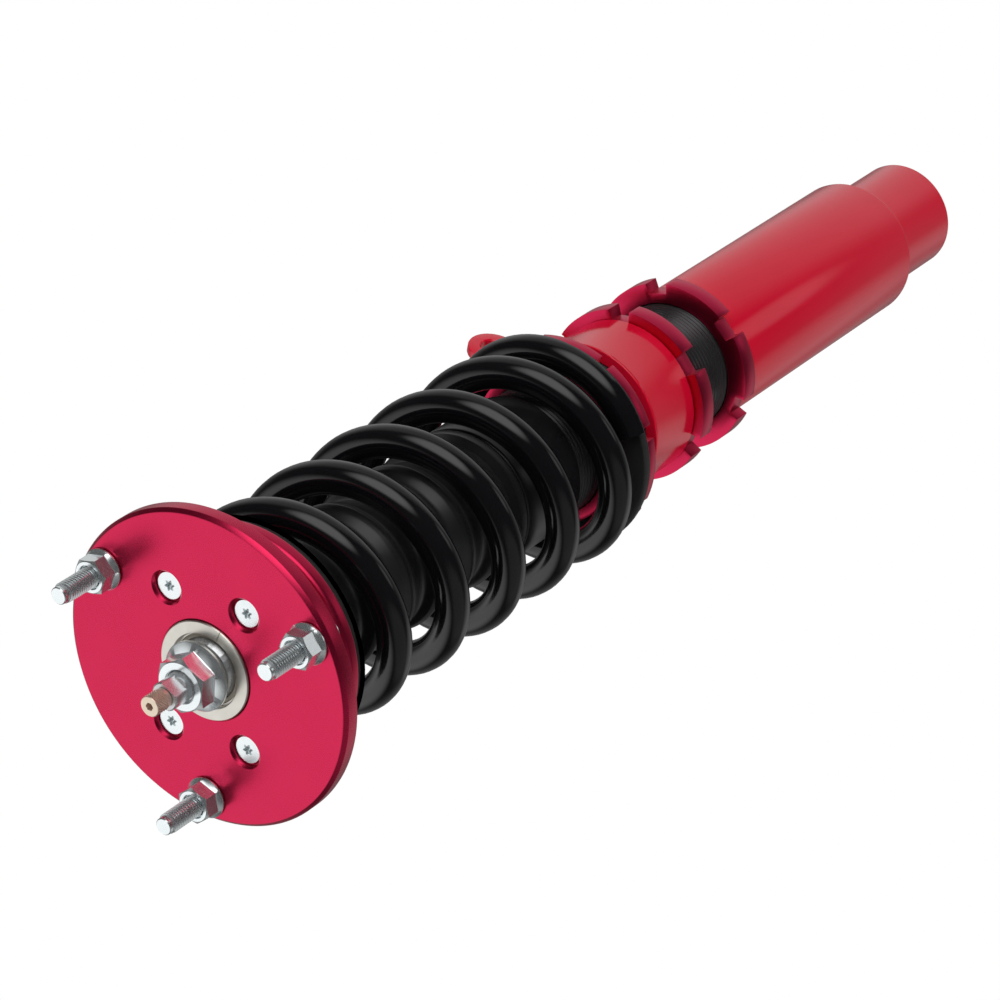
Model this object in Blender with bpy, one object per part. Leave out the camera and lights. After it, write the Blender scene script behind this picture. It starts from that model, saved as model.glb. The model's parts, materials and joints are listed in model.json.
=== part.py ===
"""Coilover strut, standing on its lower end, +Z up towards the top mount.

Every sub-part is one closed solid with its own material. Lengths in the
constants are millimetres; MM turns them into metres when a mesh is made.
The origin is the centre of the lower tube's bottom end face.
"""
import math
import bmesh
import bpy
from mathutils import Matrix, Vector

MM = 0.001
GAP = 0.3                 # running gap left between neighbouring pieces
SIDES = 32                # facets round a large turned piece
SMALL_SIDES = 14          # facets round a fastener

# ---- lower tube, threaded damper body and the two lock rings
TUBE_R, TUBE_END_R = 29.5, 23.2
TUBE_TOP, SHOULDER_Z, SHOULDER_H = 183.4, 40.0, 4.0
TUBE_FOOT_BORE = 19.0
BODY_R, BODY_BORE = 27.0, 22.6
BODY_BOTTOM, BODY_TOP = 60.0, 331.0
RING_BORE = BODY_R + GAP
LOCK_RING_H, LOCK_RING_ROOT_R = 7.7, 31.2
LOWER_RING_R, LOWER_RING_Z = 35.6, 183.8
UPPER_RING_R, UPPER_RING_Z = 36.4, 216.9
LOWER_RING_AZ, UPPER_RING_AZ = -16.0, -22.0
LOCK_NOTCHES, LOCK_NOTCH_W = 6, 9.5

# ---- link collar with its ear plate
COLLAR_R, COLLAR_Z, COLLAR_TOP = 32.4, 224.9, 254.2
COLLAR_LIP_R, COLLAR_LIP = 33.2, 1.4
EAR_T, EAR_R, EAR_HOLE_R, EAR_AZ = 4.0, 10.5, 5.2, 110.0
EAR_REACH, EAR_Z = 55.4, 239.2
EAR_ROOT, EAR_ROOT_HALF = 30.0, 12.0

# ---- spring perch, pad and coil spring
PERCH_R, PERCH_Z, PERCH_TOP = 42.0, 268.6, 274.4
PERCH_HUB_R, PERCH_HUB_TOP = 32.2, 284.0
PERCH_NOTCHES, PERCH_NOTCH_W, PERCH_ROOT_R, PERCH_AZ = 8, 4.6, 38.2, -41.0
PAD_R, PAD_T = 43.6, 4.1
WIRE_R, COIL_R = 6.5, 39.7
SPRING_BOTTOM, SPRING_TOP = 279.0, 466.2
COIL_START_Z, COIL_START_AZ, COIL_TURNS = 278.35, -37.0, 6.585
CLOSED_LOW, CLOSED_HIGH = 0.447, 0.5
PITCH_END, PITCH_MID = 10.36, 36.36
COIL_STEPS, WIRE_SIDES = 20, 8

# ---- upper seat
SEAT_R, SEAT_Z, SEAT_TOP = 46.5, 469.5, 479.0
SEAT_WEB_Z, SEAT_PILOT_R, SEAT_PILOT_Z = 472.0, 32.6, 462.5
SEAT_POCKET_R = 29.9

# ---- rod, valve and what is inside the body
ROD_R, ROD_FOOT_R, ROD_THREAD_R = 10.0, 5.0, 5.8
ROD_BOTTOM, ROD_SHOULDER_LOW, ROD_SHOULDER_TOP, ROD_TOP = 149.0, 180.0, 471.7, 521.5
NEEDLE_R, NEEDLE_BORE, NEEDLE_BOTTOM = 1.2, 1.7, 200.0
PISTON_Z, PISTON_H = 158.6, 19.0
FLOAT_Z, FLOAT_H = 86.0, 12.0
BOOT_Z, BOOT_TOP, BOOT_PEAK_R, BOOT_ROOT_R, BOOT_WALL = 338.0, 471.2, 29.2, 26.4, 1.5
BOOT_FOLDS = 6
CUFF_R, CUFF_Z, CUFF_TOP = 29.0, 301.5, 337.4

# ---- top mount
PLATE_R, PLATE_Z, PLATE_TOP = 61.2, 491.2, 498.0
HOUSING_R, HOUSING_Z = 38.5, 483.2
RACE_R, BALL_Z = 19.3, 490.5
BALL_R, LINER_IN, LINER_OUT, RACE_IN = 13.4, 13.6, 14.8, 15.05
RETAINER_IN, RETAINER_Z, RETAINER_TOP = 14.3, 497.0, 499.0
STUD_R, STUD_CIRCLE, STUD_TOP, STUD_AZ = 3.9, 52.1, 523.3, 90.0
SCREW_X, SCREW_Y, SCREW_AZ = 17.0, 27.5, -60.0
SCREW_R, SCREW_HEAD_R, SCREW_SINK, SCREW_BOTTOM = 3.0, 5.4, 1.8, 484.4

ANODISED = (0.56, 0.02, 0.09, 1.0)
PAINT = (0.52, 0.012, 0.03, 1.0)
BLACK = (0.012, 0.012, 0.013, 1.0)
ZINC = (0.66, 0.70, 0.74, 1.0)
NICKEL = (0.68, 0.66, 0.60, 1.0)
STEEL = (0.55, 0.56, 0.58, 1.0)
BRONZE = (0.55, 0.36, 0.20, 1.0)
POLYMER = (0.62, 0.56, 0.42, 1.0)


def clear_scene():
    for obj in list(bpy.data.objects):
        bpy.data.objects.remove(obj, do_unlink=True)


def finish(name, verts, faces, look, at=None):
    """Make one closed, outward-facing object with its own material."""
    mesh = bpy.data.meshes.new(name)
    mesh.from_pydata([Vector(v) * MM for v in verts], [], faces)
    bm = bmesh.new()
    bm.from_mesh(mesh)
    bmesh.ops.recalc_face_normals(bm, faces=bm.faces)
    bm.to_mesh(mesh)
    bm.free()
    obj = bpy.data.objects.new(name, mesh)
    bpy.context.scene.collection.objects.link(obj)
    if look:
        colour, metallic, roughness = look
        mat = bpy.data.materials.new(name)
        mat.use_nodes = True
        shader = mat.node_tree.nodes["Principled BSDF"]
        shader.inputs["Base Color"].default_value = colour
        shader.inputs["Metallic"].default_value = metallic
        shader.inputs["Roughness"].default_value = roughness
        mat.diffuse_color = colour
        mesh.materials.append(mat)
        mesh.shade_smooth()
        mesh.set_sharp_from_angle(angle=math.radians(32))
    if at is not None:
        offset = Vector(at) * MM
        mesh.transform(Matrix.Translation(-offset))
        obj.location = offset
    return obj


def turned(name, profile, look, sides=SIDES, centre=(0.0, 0.0), at=None):
    """Revolve a closed (radius, z) profile about a vertical axis."""
    verts, rings = [], []
    for r, z in profile:
        if r <= 1e-9:
            rings.append([len(verts)])
            verts.append((centre[0], centre[1], z))
        else:
            rings.append(list(range(len(verts), len(verts) + sides)))
            for k in range(sides):
                a = math.tau * k / sides
                verts.append((centre[0] + r * math.cos(a), centre[1] + r * math.sin(a), z))
    faces, count = [], len(profile)
    for i in range(count):
        low, high = rings[i], rings[(i + 1) % count]
        if len(low) == 1 and len(high) == 1:
            continue
        for k in range(sides):
            n = (k + 1) % sides
            if len(low) == 1:
                faces.append((low[0], high[n], high[k]))
            elif len(high) == 1:
                faces.append((low[k], low[n], high[0]))
            else:
                faces.append((low[k], low[n], high[n], high[k]))
    return finish(name, verts, faces, look, at)


def tube(name, r_in, r_out, z0, z1, look, bevel=0.5, **kw):
    b = bevel
    outline = [(r_in, z0), (r_out - b, z0), (r_out, z0 + b), (r_out, z1 - b),
               (r_out - b, z1), (r_in, z1)]
    return turned(name, outline, look, **kw)


def rod(name, r, z0, z1, look, bevel=0.4, **kw):
    b = bevel
    outline = [(0, z0), (r - b, z0), (r, z0 + b), (r, z1 - b), (r - b, z1), (0, z1)]
    return turned(name, outline, look, **kw)


def prism(name, outline, z0, z1, look):
    """Extrude a closed 2-D outline upwards."""
    count = len(outline)
    verts = [(x, y, z) for z in (z0, z1) for x, y in outline]
    faces = [tuple(reversed(range(count))), tuple(range(count, 2 * count))]
    faces += [(k, (k + 1) % count, count + (k + 1) % count, count + k) for k in range(count)]
    return finish(name, verts, faces, look)


def notched(name, layers, bore, notches, width, root, azimuth, look):
    """Spanner ring: a bored disc stack whose rim has square notches.

    layers is [(z, rim radius), ...]; only radii above root are notched."""
    rim = max(r for _, r in layers)
    half = math.asin(width / 2 / rim)
    pitch, eps = math.tau / notches, math.radians(0.15)
    marks = []
    for k in range(notches):
        mid = math.radians(azimuth) + k * pitch
        marks += [(mid - half, True), (mid, True), (mid + half, True)]
        land = pitch - 2 * half - 2 * eps
        marks += [(mid + half + eps + land * i / 4, False) for i in range(5)]
    count = len(marks)
    verts, loops = [], []
    for z, r in [(layers[0][0], bore)] + layers + [(layers[-1][0], bore)]:
        loops.append(len(verts))
        for a, cut in marks:
            rad = min(r, root) if cut else r
            verts.append((rad * math.cos(a), rad * math.sin(a), z))
    faces = []
    for i, low in enumerate(loops):
        high = loops[(i + 1) % len(loops)]
        faces += [(low + k, low + (k + 1) % count, high + (k + 1) % count, high + k)
                  for k in range(count)]
    return finish(name, verts, faces, look)


def polar(r, degrees, z=None):
    a = math.radians(degrees)
    xy = (r * math.cos(a), r * math.sin(a))
    return xy if z is None else (*xy, z)


def boolean(obj, cutter, operation="DIFFERENCE"):
    cutter.hide_render = True
    cutter.display_type = "WIRE"
    mod = obj.modifiers.new(operation.lower(), "BOOLEAN")
    mod.operation, mod.solver, mod.object = operation, "EXACT", cutter


def hole(obj, r, z0, z1, centre, sides=SMALL_SIDES):
    name = f"{obj.name}_cut_{len(obj.modifiers)}"
    cutter = turned(name, [(0, z0), (r, z0), (r, z1), (0, z1)], None, sides, centre)
    boolean(obj, cutter)


def hex_nut(name, bore, across, z0, z1, flange_r, flange_t, centre, turn, look):
    """Flanged hex nut as one bored solid of stacked 24-point loops."""
    count = 24
    angles = [math.radians(turn) + math.tau * k / count for k in range(count)]

    def hexagon(k):
        off = (math.tau * k / count) % (math.pi / 3) - math.pi / 6
        return across / 2 / math.cos(off)

    corner = across / 2 / math.cos(math.pi / 6)
    rim = [(z0, lambda k: flange_r), (z0 + flange_t * 0.5, lambda k: flange_r),
           (z0 + flange_t, lambda k: corner + 0.15), (z0 + flange_t, hexagon),
           (z1 - 0.8, hexagon), (z1, lambda k: across / 2 - 0.1)]
    verts, loops = [], []
    for z, radius in [(z0, lambda k: bore)] + rim + [(z1, lambda k: bore)]:
        loops.append(len(verts))
        for k, a in enumerate(angles):
            rad = radius(k)
            verts.append((centre[0] + rad * math.cos(a), centre[1] + rad * math.sin(a), z))
    faces = []
    for i, low in enumerate(loops):
        high = loops[(i + 1) % len(loops)]
        faces += [(low + k, low + (k + 1) % count, high + (k + 1) % count, high + k)
                  for k in range(count)]
    return finish(name, verts, faces, look)


def coil(name, look):
    """Closed and ground helical spring; the ends are flattened to the seats."""
    steps = int(COIL_TURNS * COIL_STEPS)
    verts, z = [], COIL_START_Z

    def ease(x):
        x = min(max(x, 0.0), 1.0)
        return x * x * (3 - 2 * x)

    for i in range(steps + 1):
        t = COIL_TURNS * i / steps
        a = math.radians(COIL_START_AZ) + math.tau * t
        for k in range(WIRE_SIDES):
            b = math.tau * k / WIRE_SIDES
            r = COIL_R + WIRE_R * math.cos(b)
            h = min(max(z + WIRE_R * math.sin(b), SPRING_BOTTOM), SPRING_TOP)
            verts.append((r * math.cos(a), r * math.sin(a), h))
        share = ease((t - CLOSED_LOW) / 0.5) * ease((COIL_TURNS - CLOSED_HIGH - t) / 0.5)
        z += (PITCH_END + (PITCH_MID - PITCH_END) * share) * COIL_TURNS / steps
    n, faces = WIRE_SIDES, []
    for i in range(steps):
        faces += [(i * n + k, i * n + (k + 1) % n, (i + 1) * n + (k + 1) % n, (i + 1) * n + k)
                  for k in range(n)]
    faces += [tuple(range(n)), tuple(steps * n + k for k in reversed(range(n)))]
    return finish(name, verts, faces, look)


def ball_arc(radius, low, high, count):
    """Points on a sphere about the bearing centre, from height low to high."""
    a0, a1 = math.asin(low / radius), math.asin(high / radius)
    return [(radius * math.cos(a0 + (a1 - a0) * i / count),
             BALL_Z + radius * math.sin(a0 + (a1 - a0) * i / count)) for i in range(count + 1)]


RED_METAL, RED_PAINT = (ANODISED, 0.9, 0.35), (PAINT, 0.0, 0.25)
BLACK_STEEL, BLACK_GLOSS, RUBBER = (BLACK, 0.6, 0.4), (BLACK, 0.0, 0.15), (BLACK, 0.0, 0.7)
PLATED, RING, BARE = (ZINC, 1.0, 0.3), (NICKEL, 1.0, 0.35), (STEEL, 1.0, 0.35)
SOFT_METAL, PLASTIC = (BRONZE, 1.0, 0.4), (POLYMER, 0.0, 0.5)


def lower_end():
    turned("lower_tube", [
        (TUBE_FOOT_BORE, 0), (TUBE_END_R - 1.5, 0), (TUBE_END_R, 1.5), (TUBE_END_R, SHOULDER_Z),
        (TUBE_R - 1.5, SHOULDER_Z + SHOULDER_H - 1.2), (TUBE_R, SHOULDER_Z + SHOULDER_H + 1.0),
        (TUBE_R, TUBE_TOP), (RING_BORE, TUBE_TOP), (RING_BORE, SHOULDER_Z + 9),
        (TUBE_FOOT_BORE, SHOULDER_Z + 5)], RED_PAINT)
    rod("lower_end_cap", TUBE_FOOT_BORE - 0.2, 0, 8, BLACK_STEEL, bevel=0.8)
    for name, r, z, az in (("lower_lock_ring", LOWER_RING_R, LOWER_RING_Z, LOWER_RING_AZ),
                           ("upper_lock_ring", UPPER_RING_R, UPPER_RING_Z, UPPER_RING_AZ)):
        notched(name, [(z, r - 0.5), (z + 0.5, r), (z + LOCK_RING_H - 0.5, r), (z + LOCK_RING_H, r - 0.5)],
                RING_BORE, LOCK_NOTCHES, LOCK_NOTCH_W, LOCK_RING_ROOT_R, az, RED_METAL)


def damper():
    tube("damper_body", BODY_BORE, BODY_R, BODY_BOTTOM, BODY_TOP, BLACK_STEEL, 0.8)
    rod("body_end_cap", BODY_BORE - 0.2, BODY_BOTTOM, BODY_BOTTOM + 8, BLACK_STEEL)
    rod("floating_piston", BODY_BORE - 0.2, FLOAT_Z, FLOAT_Z + FLOAT_H, PLASTIC)
    hex_nut("piston_nut", ROD_FOOT_R + 0.15, 14, 150.0, 158.3, 9, 1.2, (0, 0), 0, BARE)
    tube("piston", ROD_FOOT_R + 0.15, BODY_BORE - 2.0, PISTON_Z, PISTON_Z + PISTON_H, BARE)
    tube("piston_band", BODY_BORE - 1.7, BODY_BORE - 0.15, PISTON_Z + 4, PISTON_Z + 15, PLASTIC, 0.2)
    tube("shim_stack", ROD_FOOT_R + 0.15, 15, PISTON_Z + PISTON_H + 0.2, ROD_SHOULDER_LOW - 0.3, BARE, 0.2)
    tube("rod_guide", ROD_R + 0.15, BODY_BORE - 0.2, 300.0, 313.0, SOFT_METAL)
    tube("rod_seal", ROD_R + 0.1, BODY_BORE - 0.3, 313.3, 319.0, RUBBER)
    tube("gland_nut", ROD_R + 0.6, BODY_BORE - 0.2, 319.3, BODY_TOP - 1, BLACK_STEEL)
    tube("boot_cuff", RING_BORE, CUFF_R, CUFF_Z, CUFF_TOP, RUBBER, 0.5)


def spring_end():
    run, half = EAR_REACH - EAR_ROOT, EAR_ROOT_HALF
    slope = math.atan2(half, run) - math.asin(EAR_R / math.hypot(run, half))
    outline = [(EAR_ROOT, EAR_Z + half), (EAR_ROOT, EAR_Z - half)]
    for i in range(15):
        a = (slope - math.pi / 2) + (math.pi - 2 * slope) * i / 14
        outline.append((EAR_REACH + EAR_R * math.cos(a), EAR_Z + EAR_R * math.sin(a)))
    ear = prism("link_collar_ear", outline, -EAR_T / 2, EAR_T / 2, None)
    ear.rotation_euler = (math.pi / 2, 0, math.radians(EAR_AZ))
    pin = turned("link_collar_pin_cut", [(0, -9), (EAR_HOLE_R, -9), (EAR_HOLE_R, 9), (0, 9)], None, SMALL_SIDES)
    pin.location = Vector(polar(EAR_REACH, EAR_AZ, EAR_Z)) * MM
    pin.rotation_euler = ear.rotation_euler
    boolean(ear, pin)
    collar = turned("link_collar", [
        (0, COLLAR_Z), (COLLAR_R, COLLAR_Z), (COLLAR_R, COLLAR_TOP - COLLAR_LIP - 0.4),
        (COLLAR_LIP_R, COLLAR_TOP - COLLAR_LIP), (COLLAR_LIP_R, COLLAR_TOP - 0.4),
        (COLLAR_LIP_R - 0.4, COLLAR_TOP), (0, COLLAR_TOP)], RED_PAINT, SIDES)
    boolean(collar, ear, "UNION")
    hole(collar, RING_BORE, COLLAR_Z - 5, COLLAR_TOP + 5, (0, 0), SIDES)
    notched("spring_perch", [(PERCH_Z, PERCH_R - 0.6), (PERCH_Z + 0.6, PERCH_R),
                             (PERCH_TOP - 0.6, PERCH_R), (PERCH_TOP, PERCH_R - 0.6),
                             (PERCH_TOP, PERCH_HUB_R), (PERCH_HUB_TOP, PERCH_HUB_R - 1)],
            RING_BORE, PERCH_NOTCHES, PERCH_NOTCH_W, PERCH_ROOT_R, PERCH_AZ, RED_METAL)
    tube("spring_pad", PERCH_HUB_R + 0.3, PAD_R, PERCH_TOP + 0.2, PERCH_TOP + 0.2 + PAD_T, RUBBER)
    coil("coil_spring", BLACK_GLOSS)


def boot():
    """Rubber bellows: rounded folds between a plain cuff at each end."""
    low, high = BOOT_Z + 5.0, BOOT_TOP - 12.0
    step = (high - low) / BOOT_FOLDS
    outer = [(BOOT_PEAK_R - 0.3, BOOT_Z), (BOOT_PEAK_R - 0.3, low - 1)]
    for k in range(BOOT_FOLDS):
        for f, r in ((0.0, BOOT_ROOT_R), (0.4, BOOT_PEAK_R), (0.6, BOOT_PEAK_R)):
            outer.append((r, low + (k + f) * step))
    outer += [(BOOT_ROOT_R, high), (BOOT_PEAK_R - 0.4, high + 2), (BOOT_PEAK_R - 0.4, BOOT_TOP)]
    inner = [(r - BOOT_WALL, z) for r, z in reversed(outer)]
    turned("dust_boot", outer + inner, RUBBER, 24)


def rod_side():
    turned("piston_rod", [
        (0, ROD_BOTTOM), (ROD_FOOT_R, ROD_BOTTOM), (ROD_FOOT_R, ROD_SHOULDER_LOW),
        (ROD_R, ROD_SHOULDER_LOW), (ROD_R, ROD_SHOULDER_TOP), (ROD_THREAD_R, ROD_SHOULDER_TOP),
        (ROD_THREAD_R, ROD_TOP - 0.5), (ROD_THREAD_R - 0.5, ROD_TOP), (NEEDLE_BORE, ROD_TOP),
        (NEEDLE_BORE, NEEDLE_BOTTOM - 4), (0, NEEDLE_BOTTOM - 4)], BARE, 24)
    rod("adjuster_needle", NEEDLE_R, NEEDLE_BOTTOM, ROD_TOP + 2.0, SOFT_METAL, 0.3, sides=10)
    turned("adjuster_knob", [
        (NEEDLE_BORE, ROD_TOP + 0.3), (3.7, ROD_TOP + 0.3), (3.7, ROD_TOP + 1.6), (4.05, ROD_TOP + 1.9),
        (4.05, ROD_TOP + 8.0), (3.85, ROD_TOP + 8.2), (1.2, ROD_TOP + 8.2), (1.2, ROD_TOP + 5.2),
        (0, ROD_TOP + 5.2), (0, ROD_TOP + 2.7), (NEEDLE_BORE, ROD_TOP + 2.7)], SOFT_METAL, 16)
    turned("bump_stop", [
        (ROD_R + 0.3, 424), (15, 424), (17.5, 430), (19.5, 434), (19.5, 441), (17.2, 443.5), (19.5, 446),
        (19.5, 455), (17.2, 457.5), (19.5, 460), (19.5, 471.2), (ROD_R + 0.3, 471.2)], PLASTIC, 24)
    turned("upper_spring_seat", [
        (ROD_THREAD_R + 0.3, SEAT_WEB_Z), (SEAT_POCKET_R, SEAT_WEB_Z), (SEAT_POCKET_R, SEAT_PILOT_Z),
        (SEAT_PILOT_R - 1, SEAT_PILOT_Z), (SEAT_PILOT_R, SEAT_PILOT_Z + 1.5), (SEAT_PILOT_R, SEAT_Z),
        (SEAT_R - 1.2, SEAT_Z), (SEAT_R, SEAT_Z + 1.2), (SEAT_R, SEAT_Z + 3.4),
        (SEAT_R - 1.6, SEAT_Z + 5.6), (SEAT_R - 6.0, SEAT_TOP), (ROD_THREAD_R + 0.3, SEAT_TOP)], RED_METAL)
    tube("upper_isolator", SEAT_PILOT_R + 0.3, 44.8, SPRING_TOP + 0.2, SEAT_Z - 0.2, RUBBER)
    tube("lower_spacer", ROD_THREAD_R + 0.2, 9.4, SEAT_TOP + 0.2, 481.6, PLATED)
    tube("upper_spacer", ROD_THREAD_R + 0.2, 11.6, 499.6, 502.4, PLATED)
    hex_nut("rod_nut", ROD_THREAD_R + 0.2, 19.2, 502.6, 512.8, 13.5, 2.4, (0, 0), 27.3, PLATED)
    arc = ball_arc(BALL_R, -8.6, 8.6, 7)
    turned("pillow_ball", [(ROD_THREAD_R + 0.2, arc[0][1])] + arc + [(ROD_THREAD_R + 0.2, arc[-1][1])],
           BARE, SIDES)


def top_mount():
    lined = ball_arc(LINER_OUT, -6.4, 6.0, 5)
    turned("bearing_liner", lined + ball_arc(LINER_IN, -6.4, 6.0, 5)[::-1], PLASTIC, SIDES)
    inner = ball_arc(RACE_IN, -7.4, 6.2, 5)
    turned("bearing_race", inner + [(RACE_R, inner[-1][1]), (RACE_R, inner[0][1])], RING, SIDES)
    tube("bearing_retainer", RETAINER_IN, RACE_R, RETAINER_Z, RETAINER_TOP, RING, 0.4)
    plate = turned("top_plate", [
        (0, PLATE_Z), (PLATE_R - 0.8, PLATE_Z), (PLATE_R, PLATE_Z + 0.8), (PLATE_R, PLATE_TOP - 1.4),
        (PLATE_R - 1.4, PLATE_TOP), (0, PLATE_TOP)], RED_METAL, 64)
    hole(plate, RACE_R + 0.25, PLATE_Z - 3, PLATE_TOP + 3, (0, 0), SIDES)
    housing = tube("bearing_housing", RACE_R + 0.25, HOUSING_R, HOUSING_Z, PLATE_Z - 0.3, BLACK_STEEL, 0.8)
    turn = Matrix.Rotation(math.radians(SCREW_AZ), 2)
    for k, (sx, sy) in enumerate(((-1, -1), (1, -1), (1, 1), (-1, 1)), start=1):
        x, y = turn @ Vector((sx * SCREW_X, sy * SCREW_Y))
        top = PLATE_TOP - SCREW_SINK
        cut = turned(f"top_plate_sink_{k}", [
            (0, PLATE_Z - 2), (SCREW_R + 0.3, PLATE_Z - 2), (SCREW_R + 0.3, top - 2.9),
            (SCREW_HEAD_R + 0.3, top - 0.6), (SCREW_HEAD_R + 0.8, top - 0.6),
            (SCREW_HEAD_R + 0.8, PLATE_TOP + 2), (0, PLATE_TOP + 2)], None, SMALL_SIDES, (x, y))
        boolean(plate, cut)
        hole(housing, SCREW_R + 0.25, HOUSING_Z - 2, PLATE_Z + 2, (x, y))
        turned(f"plate_screw_{k}", [
            (0, SCREW_BOTTOM), (SCREW_R, SCREW_BOTTOM), (SCREW_R, top - 2.7), (SCREW_HEAD_R, top - 0.4),
            (SCREW_HEAD_R, top), (1.8, top), (1.8, top - 1.8), (0, top - 1.8)], PLATED, SMALL_SIDES, (x, y))
    for k in range(3):
        x, y = polar(STUD_CIRCLE, STUD_AZ + 120 * k)
        hole(plate, STUD_R + 0.25, PLATE_Z - 3, PLATE_TOP + 3, (x, y))
        turned(f"stud_{k + 1}", [
            (0, PLATE_Z - 3), (6.4, PLATE_Z - 3), (6.4, PLATE_Z - 0.3), (STUD_R, PLATE_Z - 0.3),
            (STUD_R, STUD_TOP - 0.8), (STUD_R - 0.8, STUD_TOP), (0, STUD_TOP)], PLATED, SMALL_SIDES, (x, y))
        hex_nut(f"stud_nut_{k + 1}", STUD_R + 0.25, 12.6, PLATE_TOP + 0.2, PLATE_TOP + 8.4,
                8.0, 1.8, (x, y), 10 + 25 * k, PLATED)


clear_scene()
lower_end()
damper()
spring_end()
boot()
rod_side()
top_mount()
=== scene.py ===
# %% [markdown]
# # A coilover strut, dressed for its portrait
#
# A coilover is a telescopic damper with a coil spring wound round it. The packed
# solids give every part its place and its motion. This notebook builds the looks
# on top of them: threads, chamfers, folds and finishes, one piece at a time.

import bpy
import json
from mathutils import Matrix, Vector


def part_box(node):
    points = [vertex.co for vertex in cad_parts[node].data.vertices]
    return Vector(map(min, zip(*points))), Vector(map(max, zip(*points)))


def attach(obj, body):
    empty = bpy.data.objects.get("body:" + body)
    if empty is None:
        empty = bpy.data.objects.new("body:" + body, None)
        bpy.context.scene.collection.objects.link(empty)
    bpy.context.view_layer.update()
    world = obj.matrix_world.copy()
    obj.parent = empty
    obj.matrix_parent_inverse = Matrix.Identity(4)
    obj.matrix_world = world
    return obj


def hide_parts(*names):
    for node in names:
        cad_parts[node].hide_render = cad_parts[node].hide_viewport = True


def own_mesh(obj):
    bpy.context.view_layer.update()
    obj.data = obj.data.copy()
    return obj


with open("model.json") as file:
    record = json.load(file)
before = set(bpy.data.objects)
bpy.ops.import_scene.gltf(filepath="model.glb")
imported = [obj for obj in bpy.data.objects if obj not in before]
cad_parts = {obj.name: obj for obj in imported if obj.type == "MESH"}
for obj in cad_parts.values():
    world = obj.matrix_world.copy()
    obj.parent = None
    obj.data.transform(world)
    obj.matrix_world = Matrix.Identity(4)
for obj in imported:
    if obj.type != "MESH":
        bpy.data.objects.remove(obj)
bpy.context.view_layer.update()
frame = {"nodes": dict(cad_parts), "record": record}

# %% Tools and units
import json
import math

import bmesh
import bpy
from mathutils import Matrix, Vector

MM = 0.001
FULL = math.tau

BODY_OF = {node: body for body, nodes in frame["record"]["behaviour"]["bodies"].items()
           for node in nodes}


def foot(node):
    """Height of a node's lowest point, in millimetres."""
    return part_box(node)[0].z / MM


def head(node):
    """Height of a node's highest point, in millimetres."""
    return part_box(node)[1].z / MM


def centre(node):
    """Where a node's vertical axis stands, in millimetres."""
    low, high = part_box(node)
    return ((low.x + high.x) / 2 / MM, (low.y + high.y) / 2 / MM)


def reach(node):
    """Half of a round node's width, in millimetres."""
    low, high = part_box(node)
    return (high.x - low.x) / 2 / MM


# %% [markdown]
# ## Writing shaders as sums
#
# A material is a small calculation: noise, scaled and mixed, ends in a colour or a
# roughness. Wiring each node by hand hides that sum. A class that wraps a socket lets
# Python's own operators add the Math nodes, so the sum reads as a sum.

# %% Sockets that add up
class Wire:
    """One output socket that can be used in Python arithmetic."""

    def __init__(self, socket):
        self.socket = socket

    @staticmethod
    def node(tree, kind, settings, inputs, output=0):
        """Add one node: its settings first, then the values or links of its sockets."""
        made = tree.nodes.new(kind)
        for key, value in settings.items():
            setattr(made, key, value)
        for key, value in inputs.items():
            if isinstance(value, Wire):
                tree.links.new(value.socket, made.inputs[key])
            else:
                made.inputs[key].default_value = value
        return Wire(made.outputs[output])

    def maths(self, operation, first, second):
        tree = self.socket.id_data
        return Wire.node(tree, "ShaderNodeMath", {"operation": operation}, {0: first, 1: second})

    def __add__(self, other):
        return self.maths("ADD", self, other)

    def __radd__(self, other):
        return self.maths("ADD", other, self)

    def __sub__(self, other):
        return self.maths("SUBTRACT", self, other)

    def __rsub__(self, other):
        return self.maths("SUBTRACT", other, self)

    def __mul__(self, other):
        return self.maths("MULTIPLY", self, other)

    def __rmul__(self, other):
        return self.maths("MULTIPLY", other, self)

    def mix(self, dark, light):
        """Use this wire as the share between two colours."""
        tree = self.socket.id_data
        return Wire.node(tree, "ShaderNodeMix", {"data_type": "RGBA"},
                         {0: self, 6: (*dark, 1.0), 7: (*light, 1.0)}, 2)


class Finish:
    """A Principled material whose maker's choices are all in one place."""

    def __init__(self, name, **sockets):
        self.material = bpy.data.materials.new(name)
        self.material.use_nodes = True
        self.tree = self.material.node_tree
        self.shader = self.tree.nodes["Principled BSDF"]
        for key, value in sockets.items():
            self.shader.inputs[key.replace("_", " ")].default_value = value

    def place(self, stretch=(1.0, 1.0, 1.0)):
        """Object coordinates in millimetres, stretched along each axis."""
        where = Wire.node(self.tree, "ShaderNodeTexCoord", {}, {}, 3)
        scale = tuple(s / MM for s in stretch)
        return Wire.node(self.tree, "ShaderNodeVectorMath", {"operation": "MULTIPLY"},
                         {0: where, 1: scale})

    def noise(self, size, detail=2.0, stretch=(1.0, 1.0, 1.0)):
        """Soft noise whose blotches are about size millimetres across."""
        return Wire.node(self.tree, "ShaderNodeTexNoise", {"noise_dimensions": "3D"},
                         {"Vector": self.place(stretch), "Scale": 1.0 / size, "Detail": detail})

    def colour(self, wire):
        self.tree.links.new(wire.socket, self.shader.inputs["Base Color"])

    def rough(self, wire):
        self.tree.links.new(wire.socket, self.shader.inputs["Roughness"])

    def relief(self, wire, strength, depth=0.05):
        """Turn a wire into surface relief, depth in millimetres."""
        bump = Wire.node(self.tree, "ShaderNodeBump", {},
                         {"Strength": strength, "Distance": depth * MM, "Height": wire})
        self.tree.links.new(bump.socket, self.shader.inputs["Normal"])


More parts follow.
